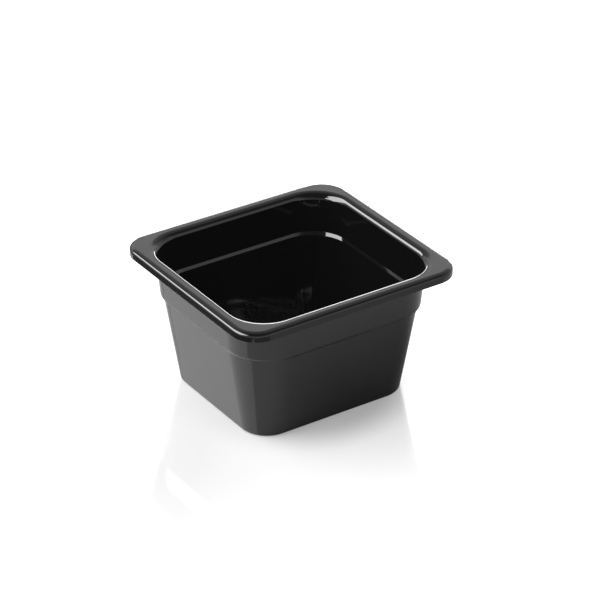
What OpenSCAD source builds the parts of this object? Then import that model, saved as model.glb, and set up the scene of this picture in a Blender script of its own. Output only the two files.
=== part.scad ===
// Sixth-size deli food pan, 100 mm deep: one black plastic moulding.
// The long side runs along X, the short side along Y, and the base stands on z = 0.
// An inset is a distance inward from the rim's outer edge, the same on all four sides.

/* [Overall] */
// Rim's outer length, along X
pan_length = 176; // [150:1:220]
// Rim's outer width, along Y
pan_width = 162; // [140:1:200]
// Height from the base to the top of the rim
pan_height = 100; // [90:1:150]

/* [Rim] */
// Radius of the rim's outer corners, seen from above
rim_corner_r = 19; // [16:0.5:24]
// Thickness of the rim's flange and of its turned-down lip
rim_thickness = 2.7; // [2.2:0.1:3]
// Radius of the rim's outer top edge
rim_edge_r = 2.2; // [2:0.1:4]
// Radius of the inside edge where the flange turns down into the lip
rim_inner_r = 0.4; // [0.2:0.1:0.8]
// Height of the lip, from its lower edge to the top of the rim
lip_height = 6; // [5:0.1:8]
// Radius of the lip's two lower edges
lip_edge_r = 0.3; // [0.2:0.1:0.8]
// Radius of the edge where the flange turns down into the pan
mouth_edge_r = 3.6; // [2.8:0.1:4]

/* [Collar] */
// Distance of the corner centres of the mouth and collar inside the rim's edge
collar_corner_inset = 42.2; // [40:0.1:44]
// Inset of the collar's outer face, level with the top of the rim
collar_inset = 8.7; // [8.2:0.1:10]
// Slope of the collar's faces from the vertical, in degrees
collar_draft = 5.6; // [4:0.1:7]
// Wall thickness of the collar
collar_thickness = 2.7; // [2.4:0.1:3]
// Radius under the flange, where it meets the collar
under_flange_r = 1.5; // [0.5:0.1:1.5]

/* [Shoulder] */
// Depth of the outer shoulder line below the top of the rim
shoulder_depth = 34.2; // [30:0.1:38]
// Radius of the bead above that line
shoulder_bead_r = 3; // [2.5:0.1:3.2]
// Height of the middle of the inner ledge above the outer shoulder line
ledge_rise = 5.6; // [5:0.1:6.5]
// Height of the ledge, which is a steep cone
ledge_height = 1.8; // [1:0.1:2.4]

/* [Lower wall and base] */
// Distance of the lower wall's corner centres inside the rim's edge
wall_corner_inset = 44.5; // [44:0.1:46]
// Inset of the lower wall's outer face at the shoulder line
wall_top_inset = 13.4; // [13:0.1:14]
// Inset of the lower wall's outer face at the base, before its edge is rounded
wall_base_inset = 24.1; // [22:0.1:26]
// Wall thickness of the lower wall
wall_thickness = 2.6; // [2.4:0.1:2.8]
// Thickness of the floor above the standing ring
floor_thickness = 3; // [2.6:0.1:4]
// Radius of the base's outer edge
base_edge_r = 2.5; // [1:0.5:6]
// Radius of the inside edge between wall and floor
floor_edge_r = 6; // [3:0.5:8]
// Inset of the edge of the shallow recess under the floor
recess_inset = 34; // [34:1:40]
// Depth of that recess
recess_depth = 0.5; // [0.3:0.1:0.8]
// Radius of the moulding gate's mark in the recess
gate_mark_r = 2.5; // [1:0.5:4]

/* [Hidden] */
$fn = 96;

// Straight facets in each rounded edge
arc_steps = 6;
// Overlap between the swept rings and the plates that join them
overlap = 1;

rim_ring_inset = rim_edge_r + 2;
collar_ring_inset = collar_inset - under_flange_r - 0.2;
shoulder_z = pan_height - shoulder_depth;
ledge_z = shoulder_z + ledge_rise;
ledge_low_z = ledge_z - ledge_height / 2;
ledge_high_z = ledge_z + ledge_height / 2;
wall_draft = atan((wall_base_inset - wall_top_inset) / shoulder_z);
gate_mark_h = 0.3;

// Insets of the sloping faces at a height z
function collar_outside(z) = collar_inset + (pan_height - z) * tan(collar_draft);
function collar_inside(z) = collar_outside(z) + collar_thickness / cos(collar_draft);
function wall_outside(z) = wall_base_inset - z * tan(wall_draft);
function wall_inside(z) = wall_outside(z) + wall_thickness / cos(wall_draft);

// Points of an arc in a section, whose x is minus the inset and whose y is the height
function arc(inset, z, r, from, to) = [
    for (i = [0:arc_steps])
        let (a = from + (to - from) * i / arc_steps)
            [r * cos(a) - inset, z + r * sin(a)]
];

// Sweeps a section round the pan: four straight runs and four corners, which turn about centres
// that lie corner_inset inside the rim's edge
module sweep_round(corner_inset) {
    run_x = pan_length - 2 * corner_inset;
    run_y = pan_width - 2 * corner_inset;
    for (side = [-1, 1]) {
        rotate(90 - 90 * side)
            translate([pan_length / 2, 0, 0])
                rotate([90, 0, 0])
                    linear_extrude(run_y, center = true)
                        children();
        rotate(90 * side)
            translate([pan_width / 2, 0, 0])
                rotate([90, 0, 0])
                    linear_extrude(run_x, center = true)
                        children();
    }
    for (corner = [[1, 1, 0], [-1, 1, 90], [-1, -1, 180], [1, -1, 270]])
        translate([corner[0] * run_x / 2, corner[1] * run_y / 2, 0])
            rotate(corner[2])
                rotate_extrude(angle = 90)
                    translate([corner_inset, 0])
                        children();
}

// Outline of the pan at an inset, with its corners turning about centres that lie corner_inset in
module outline(inset, corner_inset) {
    r = corner_inset - inset;
    x = pan_length / 2 - corner_inset;
    y = pan_width / 2 - corner_inset;
    square([2 * x, 2 * (y + r)], center = true);
    square([2 * (x + r), 2 * y], center = true);
    for (sx = [-1, 1], sy = [-1, 1])
        translate([sx * x, sy * y])
            circle(r);
}

// Turned-down lip and the outer part of the flange
module lip_section() {
    top = pan_height;
    low = pan_height - lip_height + lip_edge_r;
    edge = rim_edge_r;
    polygon(concat(
        arc(edge, top - edge, edge, 0, 90),
        [[-rim_ring_inset, top], [-rim_ring_inset, top - rim_thickness]],
        arc(rim_thickness + rim_inner_r, top - rim_thickness - rim_inner_r, rim_inner_r, 90, 0),
        arc(rim_thickness - lip_edge_r, low, lip_edge_r, 180, 270),
        arc(lip_edge_r, low, lip_edge_r, -90, 0)
    ));
}

// Rounded mouth, sloping collar and the bead at its foot
module collar_section() {
    top = pan_height;
    slope = cos(collar_draft);
    mouth_z = top - mouth_edge_r;
    under_z = top - rim_thickness - under_flange_r;
    bead_z = shoulder_z + shoulder_bead_r;
    polygon(concat(
        [[-collar_ring_inset, top]],
        arc(collar_inside(mouth_z) - mouth_edge_r / slope, mouth_z, mouth_edge_r, 90, 180 - collar_draft),
        [[-collar_inside(ledge_z), ledge_z]],
        arc(collar_outside(bead_z) + shoulder_bead_r / slope, bead_z, shoulder_bead_r, -90, -collar_draft),
        arc(collar_outside(under_z) - under_flange_r / slope, under_z, under_flange_r, 180 - collar_draft, 90),
        [[-collar_ring_inset, top - rim_thickness]]
    ));
}

// Lower wall, with the rounded base edge at its foot. Its top is the ledge's cone, which runs on
// into the collar by the overlap
module wall_section() {
    slope = cos(wall_draft);
    in_z = floor_thickness + floor_edge_r;
    ledge_lean = (wall_inside(ledge_low_z) - collar_inside(ledge_high_z)) / ledge_height;
    cone_z = ledge_high_z + overlap;
    polygon(concat(
        [[-recess_inset, floor_thickness]],
        arc(wall_inside(in_z) + floor_edge_r / slope, in_z, floor_edge_r, -90, -wall_draft),
        [[-wall_inside(ledge_low_z), ledge_low_z]],
        [[-collar_inside(ledge_high_z) + ledge_lean * overlap, cone_z]],
        [[-wall_outside(ledge_z), cone_z]],
        arc(wall_outside(base_edge_r) + base_edge_r / slope, base_edge_r, base_edge_r, -wall_draft, -90),
        [[-recess_inset, 0]]
    ));
}

module pan() {
    color([0.05, 0.05, 0.055]) {
        sweep_round(rim_corner_r)
            lip_section();
        translate([0, 0, pan_height - rim_thickness])
            linear_extrude(rim_thickness)
                difference() {
                    outline(rim_ring_inset - overlap, rim_corner_r);
                    outline(collar_ring_inset + overlap / 2, collar_corner_inset);
                }
        sweep_round(collar_corner_inset)
            collar_section();
        sweep_round(wall_corner_inset)
            wall_section();
        translate([0, 0, recess_depth])
            linear_extrude(floor_thickness - recess_depth)
                outline(recess_inset, wall_corner_inset);
        translate([0, 0, recess_depth - gate_mark_h])
            cylinder(h = gate_mark_h + overlap, r = gate_mark_r);
    }
}

pan();
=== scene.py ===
# %% [markdown]
# # A sixth-size deli food pan
# The real thing is one moulding of glossy black plastic: a tapered tub with a stepped collar and a wide
# flange whose edge turns down. A counter-top drops round the tub and the flange carries it. The CAD
# model already fixes every size and place. This lesson loads it as a frame, then makes a finer skin for
# it, because the look of black plastic is nearly all in how its rounded edges bend a reflection.

# %% Load the frame
import bpy
import bmesh
import math
from mathutils import Matrix, Quaternion, Vector


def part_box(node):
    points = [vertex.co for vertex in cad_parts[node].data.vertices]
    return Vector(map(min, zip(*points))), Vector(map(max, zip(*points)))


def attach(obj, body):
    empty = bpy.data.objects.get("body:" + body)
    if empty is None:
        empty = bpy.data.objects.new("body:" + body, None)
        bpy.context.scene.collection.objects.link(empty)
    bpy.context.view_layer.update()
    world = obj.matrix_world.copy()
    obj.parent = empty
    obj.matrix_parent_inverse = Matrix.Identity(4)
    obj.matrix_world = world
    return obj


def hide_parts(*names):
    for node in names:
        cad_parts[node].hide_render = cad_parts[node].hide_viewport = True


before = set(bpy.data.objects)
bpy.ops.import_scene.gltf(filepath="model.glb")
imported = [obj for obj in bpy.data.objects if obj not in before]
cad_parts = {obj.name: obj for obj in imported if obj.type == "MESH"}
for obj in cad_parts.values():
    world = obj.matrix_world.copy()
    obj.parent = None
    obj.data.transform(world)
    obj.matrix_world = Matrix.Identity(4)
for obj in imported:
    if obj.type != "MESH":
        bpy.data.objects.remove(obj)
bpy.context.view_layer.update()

low_corner, high_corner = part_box("pan")
half_length = high_corner.x * 1000
half_width = high_corner.y * 1000
top = high_corner.z * 1000
print("pan, mm:", round(2 * half_length, 2), round(2 * half_width, 2), round(top, 2))

# %% [markdown]
# ## The section through the wall
# Cut through, every side of the pan shows the same profile, so the whole shape is one section carried
# round a rounded rectangle. Here each point of the section is a triple: how far it lies in from the
# rim's outer edge, how high it lies, and how far in the centres of its corners lie. Two points with
# different corner centres give a surface that widens at the corners, as the flange and the ledge do on
# the real pan. Boxes with bevels could come close, but a bevel can't hold two sloping faces tangent to
# an arc as this can.

# %% Start the section, with a helper for its rounded edges
section = []


def add(points, corner):
    """Adds (inset, height) points, in millimetres, whose corner centres lie `corner` inside the rim."""
    for inset, height in points:
        section.append((inset, height, corner))


def rounded(inset, height, radius, start, end, steps=8):
    """Points of an arc: 0 degrees points away from the pan, 90 up and 180 into it."""
    points = []
    for i in range(steps + 1):
        angle = math.radians(start + (end - start) * i / steps)
        points.append((inset - radius * math.cos(angle), height + radius * math.sin(angle)))
    return points


# %% [markdown]
# ## Floor and lower wall, inside
# A core pulls out of the moulding when it has set, so the walls lean outward by a few degrees: this is
# the draft. The lower wall leans about nine degrees and the collar above it about six.

# %% Sloping faces and the inside of the tub
rim_corner = 19.0
collar_corner = 42.2
wall_corner = 44.5
shoulder = top - 34.2
ledge = top - 28.6

collar_start = 8.7
collar_thickness = 2.7
wall_start = 13.4
wall_end = 24.1
wall_thickness = 2.6
collar_slope = math.radians(5.6)
wall_slope = math.atan((wall_end - wall_start) / shoulder)
collar_lean = math.degrees(collar_slope)
wall_lean = math.degrees(wall_slope)


def collar_outside(height):
    return collar_start + (top - height) * math.tan(collar_slope)


def collar_inside(height):
    return collar_outside(height) + collar_thickness / math.cos(collar_slope)


def wall_outside(height):
    return wall_end - height * math.tan(wall_slope)


def wall_inside(height):
    return wall_outside(height) + wall_thickness / math.cos(wall_slope)


floor_edge = 6.0
floor_top = 3.0
floor_middle = 42.0
height = floor_top + floor_edge
inset = wall_inside(height) + floor_edge / math.cos(wall_slope)
add([(floor_middle, floor_top)], wall_corner)
add(rounded(inset, height, floor_edge, -90, -wall_lean, 12), wall_corner)
print("inside of the tub:", len(section), "rings")

# %% [markdown]
# ## Ledge and collar, inside
# Stacked pans rest on each other by this step in the wall. It's a steep little cone rather than a flat
# shelf: about a millimetre wide along the sides and twice that at the corners, where the collar turns on
# a tighter centre. A flat shelf would show as a pale line on every side. A steep one mirrors what lies
# low across the pan, so only some sides light up. The `ledge_rise` is half the cone's height.

# %% The ledge and the collar's inner face
ledge_edge = 0.5
ledge_rise = 1.12
ledge_tilt = math.degrees(math.atan2(2 * ledge_rise, wall_inside(ledge) - collar_inside(ledge)))
height = ledge - ledge_rise
inset = wall_inside(height) - ledge_edge / math.cos(wall_slope)
add(rounded(inset, height, ledge_edge, 180 - wall_lean, 90 + ledge_tilt, 4), wall_corner)
height = ledge + ledge_rise
inset = collar_inside(height) + ledge_edge / math.cos(collar_slope)
add(rounded(inset, height, ledge_edge, -90 + ledge_tilt, -collar_lean, 4), collar_corner)
print("ledge leans", round(ledge_tilt, 1), "degrees")
print("with the ledge:", len(section), "rings")

# %% [markdown]
# ## Mouth, flange and lip
# The flange looks flat, but its top is slightly crowned, so that water runs off and a lid's seal has
# something to bear on. The crown is an arc of 16 mm radius that runs out, without a kink, into the edge
# of the mouth and into the outer edge. The crest is where the corner centres change, so at the corners
# the flange is wide and flat. The mouth's own corner centres move outward as it rises, which an ordinary
# bevel couldn't do.

# %% The crown and its two rounded edges
crown = 16.0
crest = 5.2
mouth_edge = 3.6
mouth_centre = 8.2
outer_edge = 2.2
mouth_corner = 37.2
mouth_foot_corner = 39.5
mouth_steps = 14
mouth_turn_steps = 7
collar_turn = top - 14


def crown_height(inset, edge):
    """Height of the centre of a rounded edge that touches the crown from below."""
    return top - crown + math.sqrt((crown - edge) ** 2 - (inset - crest) ** 2)


mouth_tilt = math.degrees(math.asin((mouth_centre - crest) / (crown - mouth_edge)))
outer_tilt = math.degrees(math.asin((crest - outer_edge) / (crown - outer_edge)))
mouth_height = crown_height(mouth_centre, mouth_edge)
outer_height = crown_height(outer_edge, outer_edge)
mouth = rounded(mouth_centre, mouth_height, mouth_edge, 180 - collar_lean, 90 + mouth_tilt, mouth_steps)
add([(collar_inside(collar_turn), collar_turn)], collar_corner)
for i, point in enumerate(mouth):
    turned = min(1, i / mouth_turn_steps)
    add([point], mouth_foot_corner + (mouth_corner - mouth_foot_corner) * turned)
add(rounded(crest, top - crown, crown, 90 + mouth_tilt, 90, 6)[1:], mouth_corner)
add(rounded(crest, top - crown, crown, 90, 90 - outer_tilt, 6)[:-1], rim_corner)
add(rounded(outer_edge, outer_height, outer_edge, 90 - outer_tilt, 0, 12), rim_corner)
print("flange crown leans", round(mouth_tilt, 1), "and", round(outer_tilt, 1), "degrees at its edges")

# %% [markdown]
# ## Lip and underside of the flange
# The flange's edge turns down into a short lip, which stiffens it and keeps water off the counter. Its
# lower edges are nearly sharp, and the turn inside it is tight, as they are where two halves of a mould
# meet.

# %% The turned-down lip and the flange's underside
lip = 6.0
lip_edge = 0.3
plate = 2.7
inner_edge = 0.4
under_edge = 1.5
height = top - lip + lip_edge
add(rounded(lip_edge, height, lip_edge, 0, -90, 5), rim_corner)
add(rounded(plate - lip_edge, height, lip_edge, 270, 180, 5), rim_corner)
add(rounded(plate + inner_edge, top - plate - inner_edge, inner_edge, 0, 90, 5), rim_corner)
height = top - plate - under_edge
inset = collar_outside(height) - under_edge / math.cos(collar_slope)
add(rounded(inset, height, under_edge, 90, 180 - collar_lean, 8), collar_corner)
print("with the lip:", len(section), "rings")

# %% [markdown]
# ## Collar, shoulder and lower wall, outside
# The collar ends in a rounded bead that overhangs the lower wall by a little more than a millimetre, and
# a hollow below it runs out into the wall. It's the line that shows part way down the sides. Without the
# hollow the line would be a hard dark groove.

# %% The outside, down to the base
bead = 3.6
height = shoulder + bead
inset = collar_outside(height) + bead / math.cos(collar_slope)
step = wall_outside(shoulder)
hollow = 2.6
bead_end = -math.degrees(math.acos((inset - step + hollow) / (bead + hollow)))
add(rounded(inset, height, bead, -collar_lean, bead_end, 8), collar_corner)
hollow_inset = inset - (bead + hollow) * math.cos(math.radians(bead_end))
hollow_height = height + (bead + hollow) * math.sin(math.radians(bead_end))
add(rounded(hollow_inset, hollow_height, -hollow, bead_end, -wall_lean, 6)[1:], wall_corner)
base_edge = 2.5
inset = wall_outside(base_edge) + base_edge / math.cos(wall_slope)
add(rounded(inset, base_edge, base_edge, -wall_lean, -90, 10), wall_corner)
print("with the outside:", len(section), "rings")

# %% [markdown]
# ## Underside
# The pan stands on a ring, inside which the floor is raised by half a millimetre so that it can't rock.
# The small disc in the middle is where the plastic entered the mould.

# %% The recess under the floor
recess_edge = 34.0
recess_depth = 0.5
recess_rounding = 0.25
add(rounded(recess_edge, recess_rounding, recess_rounding, -90, 0, 3), wall_corner)
add([(recess_edge + recess_rounding, recess_depth)], wall_corner)
add([(floor_middle, recess_depth)], wall_corner)
print("whole section:", len(section), "rings")

# %% [markdown]
# ## From section to skin
# Each point of the section becomes a ring of vertices round the pan, and neighbouring rings are joined
# by quads. A ring holds four quarter circles and the four straight runs between them, always with the
# same number of points, so any two rings can be joined.

# %% Make the rings
corner_steps = 24
run_steps = 10
corner_signs = [(1, 1), (-1, 1), (-1, -1), (1, -1)]


def ring(inset, height, corner):
    """One ring of the skin, in metres, anticlockwise from above."""
    points = []
    for quarter, (x_sign, y_sign) in enumerate(corner_signs):
        centre = Vector((x_sign * (half_length - corner), y_sign * (half_width - corner), height))
        for i in range(corner_steps + 1):
            angle = math.radians(90 * quarter + 90 * i / corner_steps)
            points.append(centre + (corner - inset) * Vector((math.cos(angle), math.sin(angle), 0)))
    whole = []
    quarter_points = corner_steps + 1
    for quarter in range(4):
        part = points[quarter * quarter_points:(quarter + 1) * quarter_points]
        following = points[((quarter + 1) % 4) * quarter_points]
        whole.extend(part)
        for i in range(1, run_steps):
            whole.append(part[-1].lerp(following, i / run_steps))
    return [point / 1000 for point in whole]


# %% Join them into one closed mesh
def skin(name, rings):
    """A closed smooth-shaded mesh through the rings, capped at both ends."""
    mesh = bmesh.new()
    rows = []
    for points in rings:
        rows.append([mesh.verts.new(point) for point in points])
    count = len(rows[0])
    for upper, lower in zip(rows, rows[1:]):
        for i in range(count):
            j = (i + 1) % count
            mesh.faces.new((upper[i], upper[j], lower[j], lower[i]))
    mesh.faces.new(rows[0])
    mesh.faces.new(rows[-1])
    bmesh.ops.recalc_face_normals(mesh, faces=mesh.faces)
    for face in mesh.faces:
        face.smooth = True
    data = bpy.data.meshes.new(name)
    mesh.to_mesh(data)
    mesh.free()
    piece = bpy.data.objects.new(name, data)
    bpy.context.collection.objects.link(piece)
    return piece


rings = [ring(inset, height, corner) for inset, height, corner in section]
gate_radius = 0.0025
gate_taper = 0.94
gate_root = Vector((0, 0, recess_depth / 1000))
gate_face = Vector((0, 0, 0.0002))
gate = [Vector((point.x, point.y, 0)).normalized() * gate_radius for point in rings[-1]]
rings.append([point + gate_root for point in gate])
rings.append([point * gate_taper + gate_face for point in gate])
pan = skin("food_pan", rings)
print("skin:", len(pan.data.vertices), "vertices,", len(pan.data.polygons), "faces")

# %% [markdown]
# ## Shading that follows the big faces
# Smooth shading averages the normals round each vertex, which makes flat walls look puffy where they
# meet a tight edge. A Weighted Normal modifier lets the larger faces win, so the walls stay flat and
# only the edges turn.

# %% Weight the normals
weighted = pan.modifiers.new("flat walls, round edges", "WEIGHTED_NORMAL")
weighted.mode = "FACE_AREA"
weighted.weight = 100
weighted.keep_sharp = False
print("modifiers:", [modifier.name for modifier in pan.modifiers])

# %% [markdown]
# ## Glossy black plastic
# Carbon black swallows nearly all the light that enters the plastic, so its own colour is close to
# nothing and the surface is seen by what it mirrors. A Principled shader with a very dark base and an
# ordinary plastic's index of refraction does this. Two faint noises keep it from looking like glass: one
# varies the roughness, as handling and washing do, and one lifts the surface by about a hundredth of a
# millimetre, as a mould's polish does. The blackest parts of a picture are never quite black, because a
# lens scatters a little light over them. A very weak even glow stands in for that.

# %% The material
plastic = bpy.data.materials.new("gloss black plastic")
plastic.use_nodes = True
nodes = plastic.node_tree.nodes
links = plastic.node_tree.links
shader = nodes["Principled BSDF"]
shader.inputs["Base Color"].default_value = (0.0016, 0.0016, 0.0017, 1)
shader.inputs["IOR"].default_value = 1.58
shader.inputs["Emission Color"].default_value = (1, 1, 1, 1)
shader.inputs["Emission Strength"].default_value = 0.0025
smoothest = 0.05
roughest = 0.09

place = nodes.new("ShaderNodeTexCoord")
cloudy = nodes.new("ShaderNodeTexNoise")
cloudy.inputs["Scale"].default_value = 90
cloudy.inputs["Detail"].default_value = 5
links.new(place.outputs["Object"], cloudy.inputs["Vector"])
dulling = nodes.new("ShaderNodeMapRange")
dulling.inputs["From Min"].default_value = 0.3
dulling.inputs["From Max"].default_value = 0.7
dulling.inputs["To Min"].default_value = smoothest
dulling.inputs["To Max"].default_value = roughest
links.new(cloudy.outputs["Fac"], dulling.inputs["Value"])
links.new(dulling.outputs["Result"], shader.inputs["Roughness"])
print("roughness from", smoothest, "to", roughest)

# %% A faint waviness
waves = nodes.new("ShaderNodeTexNoise")
waves.inputs["Scale"].default_value = 45
waves.inputs["Detail"].default_value = 2
links.new(place.outputs["Object"], waves.inputs["Vector"])
bump = nodes.new("ShaderNodeBump")
bump.inputs["Strength"].default_value = 0.15
bump.inputs["Distance"].default_value = 0.00015
links.new(waves.outputs["Fac"], bump.inputs["Height"])
links.new(bump.outputs["Normal"], shader.inputs["Normal"])
pan.data.materials.append(plastic)
print("nodes:", len(nodes))

# %% Tie the piece to the frame
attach(pan, "root")
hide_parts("pan")

# %% [markdown]
# ## Floor
# A product photographer stands glossy black things on a white acrylic sheet. It goes white under the
# lights, takes a soft contact shadow, and gives the pan a faint mirror image to stand on. Black plastic
# mirrors the sheet as well, and there a real sheet looks greyer than it does to the lens, because the
# picture is whitened afterwards. So there are two sheets half a millimetre apart: a white one that only
# the lens sees, and a grey one that only reflections see.

# %% A helper for flat sheets
def sheet(name, left, right, front, rear, height):
    """A rectangle parallel to the floor, in metres, that faces up."""
    corners = [(left, front, height), (right, front, height), (right, rear, height), (left, rear, height)]
    data = bpy.data.meshes.new(name)
    data.from_pydata(corners, [], [(0, 1, 2, 3)])
    made = bpy.data.objects.new(name, data)
    bpy.context.collection.objects.link(made)
    print(name, round(right - left, 2), "x", round(rear - front, 2), "m")
    return made


def acrylic(name, shade):
    """Pale glossy acrylic of one shade; returns the material and its shader."""
    made = bpy.data.materials.new(name)
    made.use_nodes = True
    shader = made.node_tree.nodes["Principled BSDF"]
    shader.inputs["Base Color"].default_value = (shade, shade, shade, 1)
    shader.inputs["Roughness"].default_value = 0.04
    shader.inputs["IOR"].default_value = 1.45
    return made, shader


# %% The white sheet, for the lens
floor = sheet("floor", left=-6, right=6, front=-6, rear=6, height=0)
floor.visible_diffuse = False
floor.visible_glossy = False
floor.visible_shadow = False
white, white_shader = acrylic("white acrylic sheet", 0.33)
floor.data.materials.append(white)

# %% [markdown]
# ## Whitening the floor
# A catalogue picture is whitened until the background is pure, and only the shadow and the mirror image
# at the pan's foot are left. A weak glow on the white sheet does the same here. It is painted light, which
# lifts the pan's real shadow everywhere but at its foot. It starts low under the pan and grows with
# distance. It grows faster to the front right, into which the key light throws the pan's shadow. A bigger
# soft box would also whiten the floor, but it would show in the plastic.

# %% A helper that turns a distance into an amount of glow
white_nodes = white.node_tree.nodes
white_links = white.node_tree.links


def graded(source, start, end, low, high, curve="SMOOTHSTEP"):
    """Turns a distance between `start` and `end`, in metres, into a value between `low` and `high`."""
    made = white_nodes.new("ShaderNodeMapRange")
    made.interpolation_type = curve
    made.inputs["From Min"].default_value = start
    made.inputs["From Max"].default_value = end
    made.inputs["To Min"].default_value = low
    made.inputs["To Max"].default_value = high
    white_links.new(source, made.inputs["Value"])
    return made.outputs["Result"]


place = white_nodes.new("ShaderNodeTexCoord")
distance = white_nodes.new("ShaderNodeVectorMath")
distance.operation = "LENGTH"
white_links.new(place.outputs["Object"], distance.inputs[0])
sideways = white_nodes.new("ShaderNodeVectorMath")
sideways.operation = "DOT_PRODUCT"
sideways.inputs[1].default_value = (math.sqrt(0.5), -math.sqrt(0.5), 0)
white_links.new(place.outputs["Object"], sideways.inputs[0])

# %% Whiter to the front right, and white everywhere a hand's breadth off
near = graded(distance.outputs["Value"], 0.065, 0.1, 0, 1)
far = graded(distance.outputs["Value"], 0.12, 0.4, 0.3, 0.75)
front_right = graded(sideways.outputs["Value"], -0.04, 0.06, 0.045, 0.27, "LINEAR")
painted_whitening = white_nodes.new("ShaderNodeMath")
painted_whitening.operation = "MULTIPLY_ADD"
white_links.new(near, painted_whitening.inputs[0])
white_links.new(front_right, painted_whitening.inputs[1])
white_links.new(far, painted_whitening.inputs[2])

# %% [markdown]
# ## The edge of the mirror image
# Seen from the camera, the pan's mirror image is a wedge that widens towards the lens, and beyond its
# two edges the floor is pure white. A glow that starts along those edges keeps them crisp. It fits the
# camera's side only, so from other directions a faint step shows on the floor. The floor behind the pan
# is whitened too.

# %% White on both sides of the pan's mirror image
view_azimuth = math.radians(-34.283)
wedge_widening = 0.093
across = white_nodes.new("ShaderNodeVectorMath")
across.operation = "DOT_PRODUCT"
across.inputs[1].default_value = (math.cos(view_azimuth), math.sin(view_azimuth), 0)
white_links.new(place.outputs["Object"], across.inputs[0])
either_side = white_nodes.new("ShaderNodeMath")
either_side.operation = "ABSOLUTE"
white_links.new(across.outputs["Value"], either_side.inputs[0])
backward = white_nodes.new("ShaderNodeVectorMath")
backward.operation = "DOT_PRODUCT"
backward.inputs[1].default_value = (
    -wedge_widening * math.sin(view_azimuth), wedge_widening * math.cos(view_azimuth), 0)
white_links.new(place.outputs["Object"], backward.inputs[0])
spreading = white_nodes.new("ShaderNodeMath")
spreading.operation = "ADD"
white_links.new(either_side.outputs["Value"], spreading.inputs[0])
white_links.new(backward.outputs["Value"], spreading.inputs[1])
beside = graded(spreading.outputs["Value"], 0.0755, 0.0785, 0, 0.4)
behind = graded(backward.outputs["Value"], 0.004, 0.011, 0, 0.4)
larger = white_nodes.new("ShaderNodeMath")
larger.operation = "MAXIMUM"
white_links.new(beside, larger.inputs[0])
white_links.new(behind, larger.inputs[1])
# Both glows add up to the sheet's emission: painted light that lifts the floor to white.
painted_floor_glow = white_nodes.new("ShaderNodeMath")
painted_floor_glow.operation = "ADD"
white_links.new(painted_whitening.outputs["Value"], painted_floor_glow.inputs[0])
white_links.new(larger.outputs["Value"], painted_floor_glow.inputs[1])
white_links.new(painted_floor_glow.outputs["Value"], white_shader.inputs["Emission Strength"])
white_shader.inputs["Emission Color"].default_value = (1, 1, 1, 1)
print("floor nodes:", len(white_nodes))

# %% [markdown]
# ## The grey sheet
# The second sheet is plain grey acrylic. It gives the walls and the underside of the lip a floor to
# mirror, and it's hidden from the lens, which sees the white one.

# %% The grey sheet, for reflections
grey_floor = sheet("floor_in_reflections", left=-6, right=6, front=-6, rear=6, height=-0.0005)
grey_floor.visible_camera = False
grey, grey_shader = acrylic("grey acrylic sheet", 0.42)
grey_floor.data.materials.append(grey)

# %% [markdown]
# ## Dark cards
# The upright side of the rim mirrors the floor a hand's breadth away. Left pale, that would wash out the
# rim's edge, so dark cards lie there on the left and greyer ones in front. They are painted shade: each is
# an even glow standing in for floor in shade, seen only in reflections and only from above. They lie
# further out at the corner, so that the collar there doesn't mirror them.

# %% Lay the cards
def card(name, left, right, front, rear, shade):
    """Painted shade: a card just above the floor that glows evenly `shade` bright, seen only in reflections.
    """
    made = sheet(name, left, right, front, rear, 0.001)
    made.visible_camera = False
    made.visible_diffuse = False
    made.visible_shadow = False
    painted_shade = bpy.data.materials.new(name)
    painted_shade.use_nodes = True
    painted_shade_nodes = painted_shade.node_tree.nodes
    painted_shade_links = painted_shade.node_tree.links
    painted_shade_nodes.remove(painted_shade_nodes["Principled BSDF"])
    glow = painted_shade_nodes.new("ShaderNodeEmission")
    glow.inputs["Strength"].default_value = shade
    clear = painted_shade_nodes.new("ShaderNodeBsdfTransparent")
    side = painted_shade_nodes.new("ShaderNodeNewGeometry")
    either = painted_shade_nodes.new("ShaderNodeMixShader")
    painted_shade_links.new(side.outputs["Backfacing"], either.inputs["Fac"])
    painted_shade_links.new(glow.outputs["Emission"], either.inputs[1])
    painted_shade_links.new(clear.outputs["BSDF"], either.inputs[2])
    painted_shade_links.new(either.outputs["Shader"], painted_shade_nodes["Material Output"].inputs["Surface"])
    made.data.materials.append(painted_shade)


card("dark_card", left=-1.6, right=-0.165, front=0.04, rear=1.6, shade=0.14)
card("dark_card_corner", left=-1.6, right=-0.2, front=-0.3, rear=0.04, shade=0.14)
card("grey_card", left=0.0, right=1.6, front=-1.6, rear=-0.195, shade=0.45)
card("middle_card", left=-0.2, right=0.0, front=-1.6, rear=-0.2, shade=0.25)

# %% [markdown]
# ## Dark strips
# The far edges of the rim mirror the back light at a grazing angle, so they'd melt into the white
# background. A dark strip stands close behind each of them, a little taller than the rim. It is painted
# shade: an even dark glow, seen only in reflections, where a photographer would use black tape.

# %% Stand two dark strips behind the far sides of the rim
strip_depth = 8
strip_rise = 0.6


def strip(name, start, end):
    """Painted shade: an upright dark strip, level with the rim, that only reflections see."""
    low = (top - strip_depth) / 1000
    high = (top + strip_rise) / 1000
    data = bpy.data.meshes.new(name)
    data.from_pydata([(*start, low), (*end, low), (*end, high), (*start, high)], [], [(0, 1, 2, 3)])
    made = bpy.data.objects.new(name, data)
    bpy.context.collection.objects.link(made)
    made.visible_camera = False
    made.visible_diffuse = False
    made.visible_shadow = False
    data.materials.append(bpy.data.materials["dark_card"])


clearance = 0.003
corner_gap = 0.02
right_edge = high_corner.x + clearance
rear_edge = high_corner.y + clearance
strip("strip_back", (low_corner.x, rear_edge), (high_corner.x - corner_gap, rear_edge))
strip("strip_right", (right_edge, high_corner.y - corner_gap), (right_edge, low_corner.y + corner_gap))

# %% [markdown]
# ## Light
# Gloss needs something to mirror. Each light here is a rectangle placed by where it stands round the pan
# and how high it rises, in degrees, because that's what decides where its reflection falls. Its strength
# is given as how bright the rectangle itself looks, so a reflection can be worked out with the plastic's
# own reflectance.

# %% A helper for soft boxes
rim_level = Vector((0, 0, 0.08))


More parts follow.
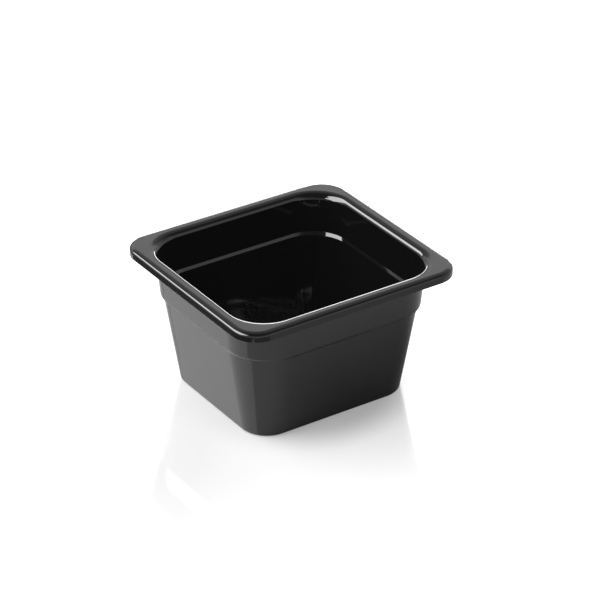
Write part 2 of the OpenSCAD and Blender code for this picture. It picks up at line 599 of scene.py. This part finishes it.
def soft_box(name, left, right, bottom, upper, brightness, distance=2.6, tilt=0):
    """A rectangle of light from azimuth `right` to `left` (degrees anticlockwise from +X) facing the pan."""
    azimuth = math.radians((left + right) / 2)
    rise = math.radians((bottom + upper) / 2)
    away = Vector((math.cos(azimuth) * math.cos(rise), math.sin(azimuth) * math.cos(rise), math.sin(rise)))
    lamp = bpy.data.lights.new(name, "AREA")
    lamp.shape = "RECTANGLE"
    lamp.size = 2 * distance * math.tan(math.radians(left - right) / 2) * math.cos(rise)
    lamp.size_y = 2 * distance * math.tan(math.radians(upper - bottom) / 2)
    lamp.energy = brightness * math.pi * lamp.size * lamp.size_y
    box = bpy.data.objects.new(name, lamp)
    box.rotation_mode = "QUATERNION"
    box.rotation_quaternion = away.to_track_quat("Z", "Y") @ Quaternion((0, 0, 1), math.radians(tilt))
    box.location = away * distance + rim_level
    box.visible_camera = False
    bpy.context.collection.objects.link(box)
    print(name, round(lamp.size, 2), "x", round(lamp.size_y, 2), "m")


# %% Key light, back light and pale walls
soft_box("key", left=187, right=104, bottom=26, upper=66, brightness=9.5)
soft_box("back_light", left=74, right=34, bottom=-4, upper=12, brightness=6, tilt=-8)
soft_box("back_wall", left=105, right=15, bottom=22, upper=33, brightness=0.45, distance=3.2)
soft_box("right_wall", left=-28, right=-85, bottom=30, upper=50, brightness=0.22)

# %% [markdown]
# ## The room
# The rest of the room is pale near the floor and dark overhead. The dark ceiling is what makes the
# flange read as black plastic.

# %% Shade the room by height
room = bpy.data.worlds.new("pale walls, dark ceiling")
room.use_nodes = True
room_nodes = room.node_tree.nodes
room_links = room.node_tree.links
air = room_nodes["Background"]
direction = room_nodes.new("ShaderNodeTexCoord")
parts = room_nodes.new("ShaderNodeSeparateXYZ")
ramp = room_nodes.new("ShaderNodeValToRGB")
steps = [(0.5, 0.75), (0.57, 0.5), (0.63, 0.42), (0.72, 0.31), (0.79, 0.2), (0.84, 0.1), (1.0, 0.08)]
for position, shade in steps[:-2]:
    ramp.color_ramp.elements.new(position)
for element, (position, shade) in zip(ramp.color_ramp.elements, steps):
    element.position = position
    element.color = (shade, shade, shade, 1)
room_links.new(direction.outputs["Generated"], parts.inputs["Vector"])
room_links.new(parts.outputs["Z"], ramp.inputs["Fac"])
room_links.new(ramp.outputs["Color"], air.inputs["Color"])
bpy.context.scene.world = room
bpy.context.scene.view_settings.view_transform = "Standard"
print("room steps:", len(ramp.color_ramp.elements))

# %% [markdown]
# ## Camera
# A long lens from above the near corner, so that the far sides hardly taper.

# %% Set up the camera
elevation = math.radians(29.67)
roll = math.radians(0.415)
level_back = Vector((math.sin(view_azimuth), -math.cos(view_azimuth), 0))
back = level_back * math.cos(elevation) + Vector((0, 0, math.sin(elevation)))
right = Vector((math.cos(view_azimuth), math.sin(view_azimuth), 0))
up = back.cross(right)
right_rolled = right * math.cos(roll) + up * math.sin(roll)
up_rolled = up * math.cos(roll) - right * math.sin(roll)
aim_height = 0.06456
aim_shift = 0.00679
camera_distance = 1.9534
aim = Vector((0, 0, aim_height)) + right * aim_shift
lens = bpy.data.cameras.new("camera")
lens.sensor_width = 36
lens.lens = 169.52
lens.clip_end = 20
camera = bpy.data.objects.new("camera", lens)
turn = Matrix((right_rolled, up_rolled, back)).transposed().to_4x4()
camera.matrix_world = Matrix.Translation(aim + back * camera_distance) @ turn
bpy.context.collection.objects.link(camera)
bpy.context.scene.camera = camera
print("camera:", [round(value, 3) for value in camera.matrix_world.translation])

# %% Update the scene
bpy.context.view_layer.update()
